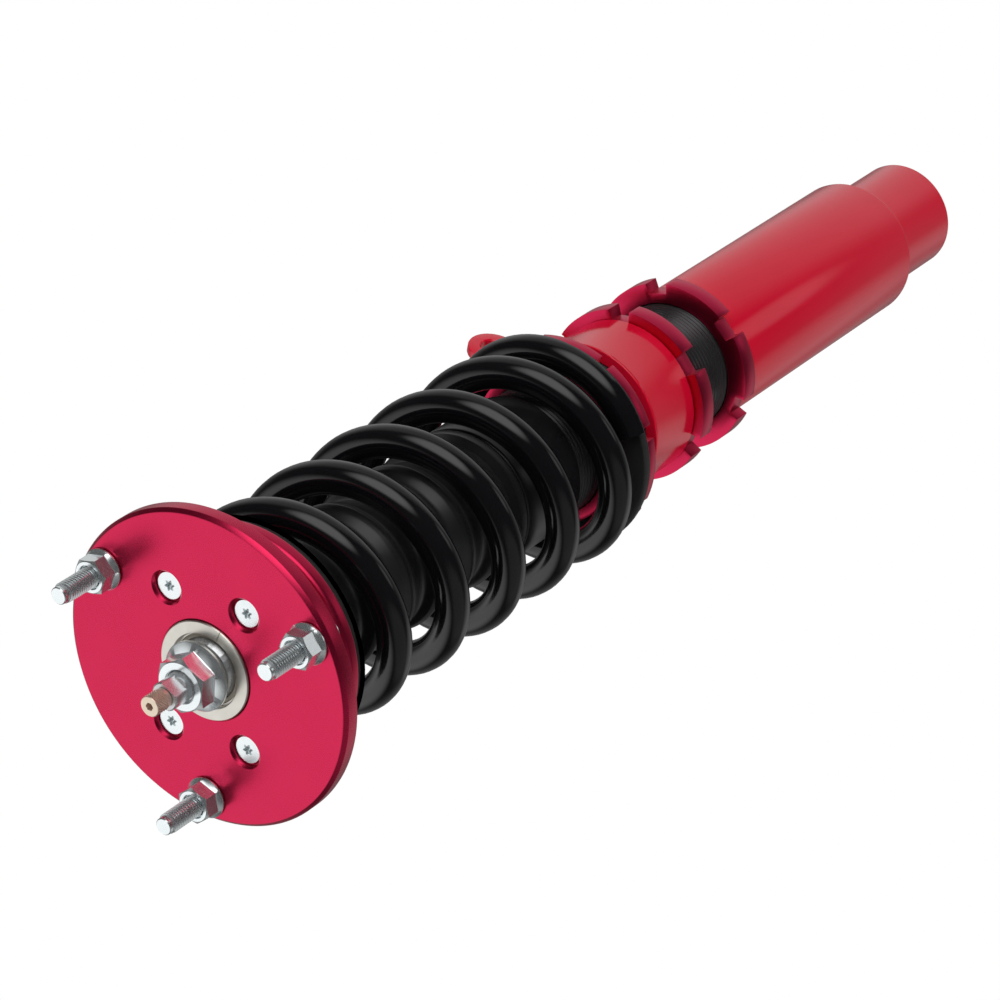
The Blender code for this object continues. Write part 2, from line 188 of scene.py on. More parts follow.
# %% [markdown]
# ## The finishes
#
# Four families cover the strut. Anodised aluminium is a metal that shines in the
# colour of its dye, with the fine grain of a blasted or turned face. Paint is a
# coloured base with a glossy, faintly wavy skin. Rubber is dark and dusty. Plated
# steel is bright, with a slightly uneven blue or warm tint. Noise averages one half,
# so a half is taken off before it is scaled: a finish then keeps, on the whole, the
# roughness that it asks for.

# %% Anodised and painted metal
CRIMSON, CRIMSON_DEEP = (0.68, 0.024, 0.092), (0.58, 0.018, 0.074)
PAINT_RED, PAINT_DEEP = (0.74, 0.005, 0.034), (0.68, 0.004, 0.028)
COAT_BLACK, COAT_DEEP = (0.006, 0.006, 0.007), (0.003, 0.003, 0.004)


def anodised(name, roughness):
    """Dyed aluminium with a fine matt grain."""
    f = Finish(name, Metallic=0.95, IOR=1.5)
    cloud, grain = f.noise(14.0, 3.0), f.noise(0.16, 4.0)
    f.colour((cloud * 0.7 + grain * 0.3).mix(CRIMSON_DEEP, CRIMSON))
    f.rough(roughness + (grain - 0.5) * 0.10 + (cloud - 0.5) * 0.06)
    f.relief(grain, 0.35, 0.02)
    return f.material


def painted(name, deep, full, roughness, peel):
    """Sprayed gloss colour with a little orange peel."""
    f = Finish(name, IOR=1.5)
    cloud, wave = f.noise(22.0, 2.0), f.noise(2.4, 1.0)
    f.colour(cloud.mix(deep, full))
    f.rough(roughness + (wave - 0.5) * 0.04)
    f.relief(wave, peel, 0.03)
    return f.material


anodised_satin = anodised("anodised_crimson", 0.28)
anodised_turned = anodised("anodised_crimson_turned", 0.32)
red_paint = painted("red_gloss_paint", PAINT_DEEP, PAINT_RED, 0.12, 0.06)
spring_coat = painted("spring_black_coat", COAT_DEEP, COAT_BLACK, 0.11, 0.04)
# painted shade: near-black colour for the roots and lower flanks of the body's thread
dark_root_painted_shade = painted("thread_root_painted_shade", (0.002,) * 3, (0.004,) * 3, 0.40, 0.02)
print("made", anodised_satin.name, red_paint.name, spring_coat.name)


# %% Black oxide, rubber and soft plastics
def dark_steel(name, roughness):
    """Blackened steel, a little worn where it is handled."""
    f = Finish(name, Metallic=0.75, IOR=1.5)
    cloud, grain = f.noise(9.0, 3.0), f.noise(0.5, 3.0)
    f.colour((cloud * 0.6 + grain * 0.4).mix((0.045, 0.045, 0.047), (0.115, 0.115, 0.120)))
    f.rough(roughness + (grain - 0.5) * 0.14)
    f.relief(grain, 0.2, 0.02)
    return f.material


def rubber(name, deep, pale, roughness):
    """Moulded rubber with bloom in patches and a fine skin."""
    f = Finish(name, IOR=1.45)
    bloom, skin = f.noise(7.0, 4.0), f.noise(0.35, 3.0)
    f.colour((bloom * 0.75 + skin * 0.25).mix(deep, pale))
    f.rough(roughness + (bloom - 0.5) * 0.16 + (skin - 0.5) * 0.06)
    f.relief(skin, 0.3, 0.03)
    return f.material


black_oxide = dark_steel("black_oxide", 0.24)
boot_rubber = rubber("boot_rubber", (0.007, 0.007, 0.008), (0.016, 0.016, 0.017), 0.34)
satin_sleeve = rubber("satin_sleeve", (0.006, 0.006, 0.007), (0.011, 0.011, 0.012), 0.30)
pad_rubber = rubber("pad_rubber", (0.010,) * 3, (0.026,) * 3, 0.55)
foam = rubber("bump_foam", (0.50, 0.42, 0.22), (0.66, 0.58, 0.36), 0.75)
slip_plastic = rubber("slip_plastic", (0.42, 0.38, 0.30), (0.56, 0.51, 0.41), 0.50)
print("made", black_oxide.name, boot_rubber.name, satin_sleeve.name)


# %% Bright metals
def bright(name, deep, pale, roughness, metal=1.0, grain_size=0.3, stretch=(1.0, 1.0, 1.0)):
    """Bare or plated metal: grain for roughness, a slow tint for colour."""
    f = Finish(name, Metallic=metal)
    tint, grain = f.noise(5.0, 3.0), f.noise(grain_size, 3.0, stretch)
    f.colour(tint.mix(deep, pale))
    f.rough(roughness + (grain - 0.5) * 0.16 + (tint - 0.5) * 0.06)
    f.relief(grain, 0.15, 0.01)
    return f.material


ROUND_THE_ROD = (1.0, 1.0, 8.0)  # grinding marks are fine along the rod and long across it
zinc_plate = bright("zinc_plate", (0.82, 0.88, 0.90), (0.92, 0.97, 0.98), 0.18, 0.90)
# painted shade: a darker grey for the roots and lower flanks of the stud and rod threads
zinc_root_painted_shade = bright("zinc_thread_painted_shade", (0.40, 0.43, 0.45), (0.52, 0.55, 0.57), 0.36, 0.75)
nickel_ring = bright("nickel_ring", (0.58, 0.56, 0.50), (0.74, 0.72, 0.66), 0.32)
ground_steel = bright("ground_steel", (0.56, 0.57, 0.58), (0.72, 0.73, 0.74), 0.27, 0.8,
                      0.4, ROUND_THE_ROD)
copper_knurl = bright("copper_knurl", (0.66, 0.48, 0.39), (0.88, 0.72, 0.62), 0.32, 0.7)
cream_metal = bright("cream_metal", (0.74, 0.62, 0.48), (0.86, 0.76, 0.62), 0.42)
bearing_bronze = bright("bearing_bronze", (0.46, 0.30, 0.14), (0.60, 0.42, 0.22), 0.32)
print("bright metals:", zinc_plate.name, nickel_ring.name, copper_knurl.name)

# %% [markdown]
# ## Three ways to make a turned part
#
# Most of a strut comes off a lathe, so most meshes are a profile spun round an axis.
# A thread is the same spin with a steady climb. A spanner ring or a hexagon is a
# stack of loops whose radius changes with the angle. Each way gives one closed skin,
# which is what a real solid has.

# %% Mesh helpers
ON_AXIS = 1e-6
BEVEL_FROM = math.radians(35)


def solid(name, verts, faces, finish, *nodes, crease=32.0, bevel=0.0):
    """A closed piece in millimetres that rides with, and stands for, its CAD nodes."""
    mesh = bpy.data.meshes.new(name)
    mesh.from_pydata([Vector(v) * MM for v in verts], [], faces)
    skin = bmesh.new()
    skin.from_mesh(mesh)
    bmesh.ops.recalc_face_normals(skin, faces=skin.faces)
    if bevel:
        sharp = [edge for edge in skin.edges
                 if len(edge.link_faces) == 2 and edge.calc_face_angle(0.0) > BEVEL_FROM]
        bmesh.ops.bevel(skin, geom=sharp, offset=bevel * MM, segments=2, profile=0.5,
                        affect="EDGES", clamp_overlap=True)
    skin.to_mesh(mesh)
    skin.free()
    mesh.shade_smooth()
    mesh.set_sharp_from_angle(angle=math.radians(crease))
    mesh.materials.append(finish)
    piece = bpy.data.objects.new(name, mesh)
    bpy.context.scene.collection.objects.link(piece)
    if nodes:
        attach(piece, BODY_OF[nodes[0]])
        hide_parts(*nodes)
        print(f"{name}: {len(mesh.polygons)} faces on body {BODY_OF[nodes[0]]}")
    return piece


def spin(profile, sides=96, at=(0.0, 0.0)):
    """Vertices and faces of a closed (radius, height) profile turned round an axis."""
    verts, rings, faces = [], [], []
    for r, z in profile:
        count = 1 if r < ON_AXIS else sides
        rings.append(list(range(len(verts), len(verts) + count)))
        for k in range(count):
            angle = FULL * k / sides
            verts.append((at[0] + r * math.cos(angle), at[1] + r * math.sin(angle), z))
    for low, high in zip(rings, rings[1:] + rings[:1]):
        if len(low) + len(high) > 2:
            faces += bridge(low, high, sides)
    return verts, faces


def bridge(low, high, sides):
    """Faces between two rings, where either may be a single point."""
    faces = []
    for k in range(sides):
        n = (k + 1) % sides
        corners = [low[k % len(low)], low[n % len(low)], high[n % len(high)], high[k % len(high)]]
        faces.append(tuple(dict.fromkeys(corners)))
    return faces


def fillet(r, z, radius, start, stop, steps=5):
    """Arc points round (r, z), angles in degrees in the profile plane."""
    angles = [math.radians(start + (stop - start) * i / steps) for i in range(steps + 1)]
    return [(r + radius * math.cos(a), z + radius * math.sin(a)) for a in angles]


def smooth(x):
    """Ease from 0 to 1, level at both ends."""
    x = min(max(x, 0.0), 1.0)
    return x * x * (3 - 2 * x)


# %% [markdown]
# A thread is a ribbon whose far edge is the near edge of the next turn. The turns
# share their vertices, so the skin has no seams; the two ends are closed with a
# plain ring, and the crest fades in over half a turn as a cut thread does. The roots
# and the lower flanks of a thread are given a darker colour than its crests: painted shade.

# %% Threads
THREAD_FORM = ((0.0, 0.0), (0.30, 1.0), (0.48, 1.0), (0.78, 0.0))  # share of pitch, of depth
RUN_OUT = 0.01
ROOT_BAND, LOWER_FLANK = 0.1, -0.3


def screw(crest, root, pitch, low, high, sides=64, at=(0.0, 0.0), below=(), above=()):
    """A threaded shank between two heights, with turned profiles beyond each end.

    below and above run outwards from the thread; they end on the axis, or in a bore
    that is closed between their last points."""
    turns = max(2, int((high - low) / pitch) - 1)
    climb, last = turns * sides, len(THREAD_FORM) - 1
    verts, faces, grid, ends = [], [], [], []

    def add(angle, r, z):
        verts.append((at[0] + r * math.cos(angle), at[1] + r * math.sin(angle), z))
        return len(verts) - 1

    for i in range(climb + sides + 1):
        fade = min(1.0, i / sides * 2, max(0.0, (climb - i) / sides * 2))
        form = THREAD_FORM if i <= climb else THREAD_FORM[:1]
        grid.append([add(FULL * i / sides, root + (crest - root) * share * fade,
                         low + pitch * (i / sides + rise)) for rise, share in form])
    for i in range(climb):
        a, b = grid[i], grid[i + 1]
        for k in range(last):
            faces.append((a[k], b[k], b[k + 1], a[k + 1]))
        faces.append((a[last], b[last], grid[i + 1 + sides][0], grid[i + sides][0]))
    top = low + pitch * (turns + 1)
    for start, z, steps in ((0, low - RUN_OUT, below), (climb, top + RUN_OUT, above)):
        edge = [grid[start + k][0] for k in range(sides + 1)]
        ring = [add(FULL * k / sides, root, z) for k in range(sides)]
        for k in range(sides):
            faces.append((ring[k], ring[(k + 1) % sides], edge[k + 1], edge[k]))
        faces.append((ring[0], edge[0], *grid[start][1:], edge[sides]))
        for r, height in steps:
            count = sides if r > ON_AXIS else 1
            wider = [add(FULL * k / sides, r, height) for k in range(count)]
            faces += bridge(ring, wider, sides)
            ring = wider
        ends.append(ring)
    if len(ends[0]) > 1:
        faces += bridge(ends[0], ends[1], sides)
    return verts, faces


def shade_roots(piece, root, low, high, finish, at=(0.0, 0.0)):
    """Give the roots and lower flanks of a thread a darker finish: painted shade."""
    piece.data.materials.append(finish)
    for face in piece.data.polygons:
        x, y, z = face.center / MM
        # faces in the thread's roots or turned downwards get the painted shade
        in_root = math.hypot(x - at[0], y - at[1]) < root + ROOT_BAND
        if low < z < high and (in_root or face.normal.z < LOWER_FLANK):
            face.material_index = 1


# %% Loops whose radius follows the angle
def loops(layers, sides, at=(0.0, 0.0), turn=0.0):
    """Stack of loops closed through its bore. Each layer gives radius and height by angle."""
    verts, faces, rings = [], [], []
    angles = [FULL * k / sides for k in range(sides)] if isinstance(sides, int) else sides
    for radius, height in layers:
        rings.append(range(len(verts), len(verts) + len(angles)))
        for a in angles:
            r = radius(a) if callable(radius) else radius
            z = height(a) if callable(height) else height
            verts.append((at[0] + r * math.cos(a + turn), at[1] + r * math.sin(a + turn), z))
    for low, high in zip(rings, rings[1:] + rings[:1]):
        faces += bridge(list(low), list(high), len(angles))
    return verts, faces


def hexagon(across):
    """Distance to the side of a hexagon at an angle."""
    return lambda a: across / 2 / math.cos((a % (FULL / 6)) - FULL / 12)


NUT_LEAD, NUT_EDGE, NUT_SLOPE = 0.7, 0.3, math.tan(math.radians(30))


def flange_nut(name, node, bore, across, flange, flange_height, turn, finish):
    """Hex nut with a washer face, its corners turned down to 30 degrees."""
    low, high, at = foot(node), head(node), centre(node)
    side, rim = hexagon(across), low + flange_height * 0.45

    def crown(a):
        return high - 0.25 - max(0.0, side(a) - (across / 2 - 0.1)) * NUT_SLOPE

    def skirt(a):
        return low + flange_height + (flange - side(a)) * 0.12

    layers = [(bore + 0.4, low), (flange - 0.4, low), (flange, low + NUT_EDGE), (flange, rim),
              (flange - 0.35, rim + NUT_EDGE), (lambda a: side(a) + 0.25, skirt),
              (side, lambda a: skirt(a) + NUT_EDGE), (side, crown), (across / 2 - 0.35, high),
              (bore + NUT_LEAD, high), (bore, high - NUT_LEAD), (bore, low + 0.4)]
    return solid(name, *loops(layers, 96, at, math.radians(turn)), finish, node, crease=24)


# %% [markdown]
# ## The lower end
#
# The red tube screws onto the damper body and is clamped in the wheel knuckle. It is
# steel, swaged down to its clamp diameter, then sprayed and lacquered, so its
# shoulder is a soft S curve and not a turned step.

# %% Lower tube and its end cap
TUBE_R, TUBE_TOP, TUBE_EDGE = reach("lower_tube"), head("lower_tube"), 0.8
CLAMP_R, CLAMP_EDGE, CLAMP_BORE = 23.2, 1.2, 19.3
SWAGE_LOW, SWAGE_HIGH, BORE_LOW, BORE_HIGH = 39.5, 46.5, 45.0, 49.0
BODY_R, BODY_GAP = 27.0, 0.35
PLUG_R, PLUG_TOP = 18.9, 7.5


def s_curve(r0, r1, z0, z1, steps=12):
    """A swaged change of radius: level at both ends."""
    return [(r0 + (r1 - r0) * smooth(t), z0 + (z1 - z0) * t)
            for t in (i / steps for i in range(steps + 1))]


profile = ([(CLAMP_BORE, 0.0)]
           + fillet(CLAMP_R - CLAMP_EDGE, CLAMP_EDGE, CLAMP_EDGE, -90, 0)
           + s_curve(CLAMP_R, TUBE_R, SWAGE_LOW, SWAGE_HIGH)
           + fillet(TUBE_R - TUBE_EDGE, TUBE_TOP - TUBE_EDGE, TUBE_EDGE, 0, 90)
           + [(BODY_R + BODY_GAP, TUBE_TOP), (BODY_R + BODY_GAP, BORE_HIGH),
              (CLAMP_BORE, BORE_LOW)])
solid("painted_tube", *spin(profile, 128), red_paint, "lower_tube")
profile = [(0, PLUG_TOP), (PLUG_R, PLUG_TOP), (PLUG_R, 1.4), (PLUG_R - 0.9, 0.6),
           (16.5, 0.9), (15.0, 1.8), (0, 2.2)]
solid("end_plug", *spin(profile, 64), black_oxide, "lower_end_cap")

# %% [markdown]
# ## Spanner rings
#
# Both lock rings and the spring perch are turned from aluminium and slotted on the
# rim for a hooked spanner. The slots have square floors, so the ring is a loop whose
# radius drops to a floor over each slot, with every sharp edge broken by a bevel.

# %% Slotted rings
RING_GAP, RING_BEVEL = 0.32, 0.35
RIM_STEPS = 14
WALL = 0.003  # radians between a slot's floor and the rim beside it


def slotted(name, node, floor, count, width, azimuth, face, hub=()):
    """Ring with square spanner slots up to its face, and hub (radius, height) steps above."""
    low, rim, bore = foot(node), reach(node), BODY_R + RING_GAP
    half, pitch = math.asin(width / 2 / rim), FULL / count
    angles, first = [], math.radians(azimuth)
    for k in range(count):
        mid = first + k * pitch
        angles += [mid + half * s for s in (-1.0, -0.5, 0.0, 0.5, 1.0)]
        start, span = mid + half + WALL, pitch - 2 * half - 2 * WALL
        angles += [start + span * i / RIM_STEPS for i in range(RIM_STEPS + 1)]

    def outline(a):
        off = abs((a - first + pitch / 2) % pitch - pitch / 2)
        return floor / math.cos(off) if off < half + WALL / 3 else rim

    layers = [(bore, low), (outline, low), (outline, face), *hub, (bore, head(node))]
    return solid(name, *loops(layers, angles), anodised_turned, node, crease=25,
                 bevel=RING_BEVEL)


for node, azimuth in (("lower_lock_ring", -16.0), ("upper_lock_ring", -22.0)):
    slotted(node + "_turned", node, 31.2, 6, 9.5, azimuth, head(node))
PERCH_FACE, HUB_LOW_R, HUB_TOP_R = 274.4, 32.2, 31.6
slotted("perch_turned", "spring_perch", 38.2, 8, 5.2, -41.0, PERCH_FACE,
        [(HUB_LOW_R, PERCH_FACE), (HUB_TOP_R, head("spring_perch"))])

# %% [markdown]
# ## The threaded body
#
# The damper body carries a fine 2 mm thread so that the perch and rings can be set
# anywhere along it. Modelling the real helix matters here: light breaks on every
# crest, and a flat texture never does that at the silhouette.

# %% Damper body
THREAD_LOW, THREAD_HIGH, PITCH = TUBE_TOP - 4.0, foot("boot_cuff") + 4.0, 2.0
BODY_ROOT, BODY_BORE = BODY_R - 0.75, 22.6


def body_end(end, edge):
    """Steps from the thread's root, over a chamfer of height edge, to the bore."""
    return [(BODY_R - 1.0, end + edge), (BODY_R - 2.0, end), (BODY_BORE, end)]


verts, faces = screw(BODY_R, BODY_ROOT, PITCH, THREAD_LOW, THREAD_HIGH, 96,
                     below=body_end(foot("damper_body"), 1.0),
                     above=body_end(head("damper_body"), -1.0))
body = solid("threaded_body", verts, faces, black_oxide, "damper_body", crease=28)
# painted shade in the roots and lower flanks of the body's thread
shade_roots(body, BODY_ROOT, THREAD_LOW, THREAD_HIGH, dark_root_painted_shade)

# %% Cuff of the boot
CUFF_LOW, CUFF_HIGH, CUFF_R = foot("boot_cuff"), head("boot_cuff"), reach("boot_cuff")
CUFF_BORE, CUFF_EDGE, CUFF_CROWN = BODY_R + 0.1, 0.9, 1.4
profile = ([(CUFF_BORE, CUFF_LOW)]
           + fillet(CUFF_R - CUFF_EDGE, CUFF_LOW + CUFF_EDGE, CUFF_EDGE, -90, 0)
           + fillet(CUFF_R - CUFF_CROWN, CUFF_HIGH - CUFF_CROWN, CUFF_CROWN, 0, 90)
           + [(CUFF_BORE, CUFF_HIGH)])
solid("smooth_cuff", *spin(profile), satin_sleeve, "boot_cuff")

# %% [markdown]
# ## The link collar
#
# A painted steel sleeve slides over the body, and a flat drilled ear stands out of
# its side, edge to edge with the axis, for the anti-roll-bar link. The ear's outline
# is one circle and two straight flanks that widen towards the sleeve. It is drawn in
# its own plane, drilled, and then joined by a boolean, as a weld joins it.

# %% Plane of the ear, and booleans
EAR_HALF, EAR_R, EAR_HOLE, EAR_AZ = 2.0, 10.5, 5.2, math.radians(110.0)
EAR_REACH, EAR_Z, ROOT, ROOT_HALF, EAR_STEPS = 55.4, 239.2, 30.0, 12.0, 48
DRILL_HALF, SINK_WIDE, SINK_DEEP = 5, 3.6, 0.6


def on_ear(out, height, across):
    """A point of the ear's own plane, carried to its place on the sleeve."""
    return (out * math.cos(EAR_AZ) + across * math.sin(EAR_AZ),
            out * math.sin(EAR_AZ) - across * math.cos(EAR_AZ), height)


def joined(base, tool, operation):
    """Apply one exact boolean and throw the tool away."""
    step = base.modifiers.new(operation.lower(), "BOOLEAN")
    step.operation, step.solver, step.object = operation, "EXACT", tool
    settled = base.evaluated_get(bpy.context.evaluated_depsgraph_get())
    done = bpy.data.meshes.new_from_object(settled)
    base.modifiers.clear()
    base.data = done
    bpy.data.objects.remove(tool)


def sharpen(piece, crease):
    """Smooth a piece again after its booleans, up to a crease angle in degrees."""
    piece.data.shade_smooth()
    piece.data.set_sharp_from_angle(angle=math.radians(crease))


# %% Link collar and ear
COLLAR_LOW, COLLAR_TOP, SLEEVE_R, LIP_R = foot("link_collar"), head("link_collar"), 32.4, 33.2
COLLAR_BORE, LIP_EDGE = BODY_R + 0.3, 0.6
run = EAR_REACH - ROOT
slope = math.atan2(ROOT_HALF, run) - math.asin(EAR_R / math.hypot(run, ROOT_HALF))
outline = [(ROOT, EAR_Z + ROOT_HALF), (ROOT, EAR_Z - ROOT_HALF)]
for i in range(EAR_STEPS + 1):
    a = (slope - math.pi / 2) + (math.pi - 2 * slope) * i / EAR_STEPS
    outline.append((EAR_REACH + EAR_R * math.cos(a), EAR_Z + EAR_R * math.sin(a)))
count = len(outline)
verts = [on_ear(x, z, t) for t in (-EAR_HALF, EAR_HALF) for x, z in outline]
faces = [tuple(reversed(range(count))), tuple(range(count, 2 * count))]
faces += [(k, (k + 1) % count, count + (k + 1) % count, count + k) for k in range(count)]
ear = solid("ear_plate", verts, faces, red_paint, bevel=0.7)
drill, drill_faces = spin([(0, -DRILL_HALF), (EAR_HOLE + SINK_WIDE, -DRILL_HALF),
                           (EAR_HOLE, -EAR_HALF + SINK_DEEP), (EAR_HOLE, EAR_HALF - SINK_DEEP),
                           (EAR_HOLE + SINK_WIDE, DRILL_HALF), (0, DRILL_HALF)], 48)
drill = [on_ear(EAR_REACH + x, EAR_Z + y, z) for x, y, z in drill]
joined(ear, solid("ear_drill", drill, drill_faces, red_paint), "DIFFERENCE")
profile = ([(COLLAR_BORE, COLLAR_LOW), (SLEEVE_R - 0.5, COLLAR_LOW), (SLEEVE_R, COLLAR_LOW + 0.5),
            (SLEEVE_R, COLLAR_TOP - 2.2), (SLEEVE_R + 0.1, COLLAR_TOP - 1.9)]
           + fillet(LIP_R - LIP_EDGE, COLLAR_TOP - LIP_EDGE, LIP_EDGE, -20, 90, 6)
           + [(COLLAR_BORE + 1.1, COLLAR_TOP), (COLLAR_BORE, COLLAR_TOP - 1.1)])
collar = solid("collar_and_ear", *spin(profile, 144), red_paint, "link_collar")
joined(collar, ear, "UNION")
sharpen(collar, 30)

# %% [markdown]
# ## The coil spring
#
# A coil spring is hot-wound from one bar, and its last turns are pressed close and
# ground flat. So the pitch is small at each end and wide between, and the bar is cut
# by a plane at both seats. A curve would give the round bar but not the ground flats;
# sweeping the section by hand gives both.

# %% Coil spring
SPRING_LOW, SPRING_TOP = foot("coil_spring"), head("coil_spring")
WIRE_R, COIL_R, TURNS = 6.5, 39.7, 6.585
COIL_START_Z, COIL_START_AZ = 278.35, math.radians(-37.0)
CLOSED_PITCH, OPEN_PITCH = 10.36, 36.36
CLOSED_LOW, CLOSED_HIGH, EASE = 0.447, 0.5, 0.5
STEPS_PER_TURN, SECTION = 84, 28

steps, z, verts = int(TURNS * STEPS_PER_TURN), COIL_START_Z, []
for i in range(steps + 1):
    t = TURNS * i / steps
    a = COIL_START_AZ + FULL * t
    for k in range(SECTION):
        b = FULL * k / SECTION
        r, h = COIL_R + WIRE_R * math.cos(b), z + WIRE_R * math.sin(b)
        verts.append((r * math.cos(a), r * math.sin(a), min(max(h, SPRING_LOW), SPRING_TOP)))
    share = smooth((t - CLOSED_LOW) / EASE) * smooth((TURNS - CLOSED_HIGH - t) / EASE)
    z += (CLOSED_PITCH + (OPEN_PITCH - CLOSED_PITCH) * share) * TURNS / steps
faces = [(i * SECTION + k, i * SECTION + (k + 1) % SECTION,
          (i + 1) * SECTION + (k + 1) % SECTION, (i + 1) * SECTION + k)
         for i in range(steps) for k in range(SECTION)]
faces += [tuple(range(SECTION)), tuple(steps * SECTION + k for k in reversed(range(SECTION)))]
spring = solid("wound_spring", verts, faces, spring_coat, "coil_spring", crease=40)
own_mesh(spring)

# %% [markdown]
# ## Rubber between the metal
#
# The dust boot is a moulded bellows. Each fold is a rounded ridge with a crisp
# parting line at its crest and a deep valley below, which is why only thin bright
# arcs of it show between the coils. Pads keep the spring off its seats.

# %% Dust boot
BOOT_LOW, BOOT_TOP = foot("dust_boot"), head("dust_boot")
BOOT_PEAK, BOOT_VALLEY, BOOT_WALL, FOLDS, FOLD_STEPS = 29.2, 25.6, 1.3, 6, 24
FOLD_LOW, FOLD_HIGH, LIP_DEPTH = BOOT_LOW + 5.0, BOOT_TOP - 12.0, 0.5
LIP_START, LIP_STOP = 0.60, 0.70  # shares of one fold
FOLD = (FOLD_HIGH - FOLD_LOW) / FOLDS


def ridge(f):
    """Radius over one fold: long flank, a thin moulded lip, short flank."""
    if LIP_START < f < LIP_STOP:
        return BOOT_PEAK
    rise = smooth(f / LIP_START) if f < LIP_STOP else smooth((1 - f) / (1 - LIP_STOP))
    return BOOT_VALLEY + (BOOT_PEAK - LIP_DEPTH - BOOT_VALLEY) * rise


skin_line = [(BOOT_PEAK - LIP_DEPTH, BOOT_LOW), (BOOT_PEAK - 0.2, BOOT_LOW + 0.6),
             (BOOT_PEAK - 0.2, FOLD_LOW - 1.0)]
for k in range(FOLDS):
    skin_line += [(ridge(i / FOLD_STEPS), FOLD_LOW + (k + i / FOLD_STEPS) * FOLD)
                  for i in range(FOLD_STEPS)]
skin_line += [(BOOT_VALLEY, FOLD_HIGH), (BOOT_PEAK - 0.4, FOLD_HIGH + 2.0),
              (BOOT_PEAK - 0.4, BOOT_TOP)]
lining = [(r - BOOT_WALL, z) for r, z in reversed(skin_line)]
boot = solid("bellows_boot", *spin(skin_line + lining, 72), boot_rubber, "dust_boot", crease=50)
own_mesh(boot)

# %% Pads
PAD_BORE, ISOLATOR_BORE, PAD_EDGE = 32.5, 32.9, 1.0


def washer(name, node, inner, finish, edge=0.4, sides=96):
    """A flat ring with both outer edges rounded, at a node's own height and width."""
    low, high, outer = foot(node), head(node), reach(node)
    e = min(edge, (high - low) / 2 - 0.05)
    line = ([(inner, low)] + fillet(outer - e, low + e, e, -90, 0, 3)
            + fillet(outer - e, high - e, e, 0, 90, 3) + [(inner, high)])
    return solid(name, *spin(line, sides, centre(node)), finish, node)


washer("lower_pad", "spring_pad", PAD_BORE, pad_rubber, PAD_EDGE)
washer("upper_pad", "upper_isolator", ISOLATOR_BORE, pad_rubber, PAD_EDGE)

# %% [markdown]
# ## The upper seat and the top plate
#
# The seat is a turned aluminium dish with a rolled lip. The plate is a flat disc,
# faced on a lathe, with a broken top edge that catches the light all the way round.
# Its four screw seats are cut with one stepped cutter each.

# %% Upper spring seat
SEAT_LOW, SEAT_TOP = foot("upper_spring_seat"), head("upper_spring_seat")
SEAT_R, SEAT_BORE, SEAT_FLOOR = reach("upper_spring_seat"), 6.2, 472.0
SPIGOT_IN, SPIGOT_OUT, LIP_LOW = 29.9, 32.6, 469.5
LIP_ROLL, LIP_CROWN = 1.6, 2.4
profile = ([(SEAT_BORE, SEAT_FLOOR), (SPIGOT_IN, SEAT_FLOOR), (SPIGOT_IN, SEAT_LOW),
            (SPIGOT_OUT - 1.2, SEAT_LOW), (SPIGOT_OUT, SEAT_LOW + 1.5), (SPIGOT_OUT, LIP_LOW)]
           + fillet(SEAT_R - LIP_ROLL, LIP_LOW + LIP_ROLL, LIP_ROLL, -90, 0, 6)
           + fillet(SEAT_R - LIP_CROWN, LIP_LOW + 4.0, LIP_CROWN, 0, 60, 6)
           + [(SEAT_R - 5.6, LIP_LOW + 7.6), (SEAT_R - 6.2, SEAT_TOP), (SEAT_BORE, SEAT_TOP)])
solid("dished_seat", *spin(profile, 128), anodised_turned, "upper_spring_seat")

# %% Top plate
PLATE_LOW, PLATE_TOP, PLATE_R = foot("top_plate"), head("top_plate"), reach("top_plate")
LOWER_EDGE, RACE_BORE, RACE_LEAD, STUD_HOLE = 0.6, 19.5, 0.5, 4.2
SCREW_R, SCREW_HEAD_R, SINK = 3.0, 5.4, 1.8
SCREWS = [f"plate_screw_{k}" for k in (1, 2, 3, 4)]
STUDS = [f"stud_{k}" for k in (1, 2, 3)]
UNDER, OVER, SCREW_SEAT = PLATE_LOW - 1, PLATE_TOP + 1, PLATE_TOP - SINK


def cut(profile, at=(0.0, 0.0), sides=48):
    """Bore the plate with one turned cutter."""
    joined(plate, solid("cutting_tool", *spin(profile, sides, at), None), "DIFFERENCE")


profile = ([(0, PLATE_LOW)]
           + fillet(PLATE_R - LOWER_EDGE, PLATE_LOW + LOWER_EDGE, LOWER_EDGE, -90, 0, 3)
           + [(PLATE_R, PLATE_TOP - 1.5), (PLATE_R - 0.15, PLATE_TOP - 1.25),
              (PLATE_R - 1.35, PLATE_TOP - 0.1), (PLATE_R - 1.6, PLATE_TOP), (0, PLATE_TOP)])
plate = solid("faced_plate", *spin(profile, 180), anodised_satin, "top_plate", crease=20)
cut([(0, UNDER), (RACE_BORE, UNDER), (RACE_BORE, PLATE_TOP - 0.3),
     (RACE_BORE + RACE_LEAD, PLATE_TOP + 0.2), (0, PLATE_TOP + 0.2)], sides=128)
for node in SCREWS:
    cut([(0, UNDER), (SCREW_R + 0.3, UNDER), (SCREW_R + 0.3, SCREW_SEAT - 2.9),
         (SCREW_HEAD_R + 0.25, SCREW_SEAT - 0.5), (SCREW_HEAD_R + 0.55, SCREW_SEAT - 0.3),
         (SCREW_HEAD_R + 0.75, PLATE_TOP - 0.6), (SCREW_HEAD_R + 1.45, PLATE_TOP + 0.1),
         (0, PLATE_TOP + 0.1)], centre(node))
for node in STUDS:
    cut([(0, UNDER), (STUD_HOLE, UNDER), (STUD_HOLE, OVER), (0, OVER)], centre(node), 32)
sharpen(plate, 20)
print("plate", PLATE_R * 2, "mm across,", len(plate.data.polygons), "faces")

# %% [markdown]
# ## Fasteners
#
# The studs are M8 and stand up through the plate; flanged nuts hold them while the
# strut is carried. The countersunk screws have a six-lobed socket, made by letting
# the recess radius swing in and out six times round.

# %% Countersunk screws
LOBES, LOBE_R, LOBE_SWING = 6, 1.8, 0.42
SOCKET_LIP, SOCKET_DEEP, SCREW_EDGE = 2.6, 2.9, 0.25


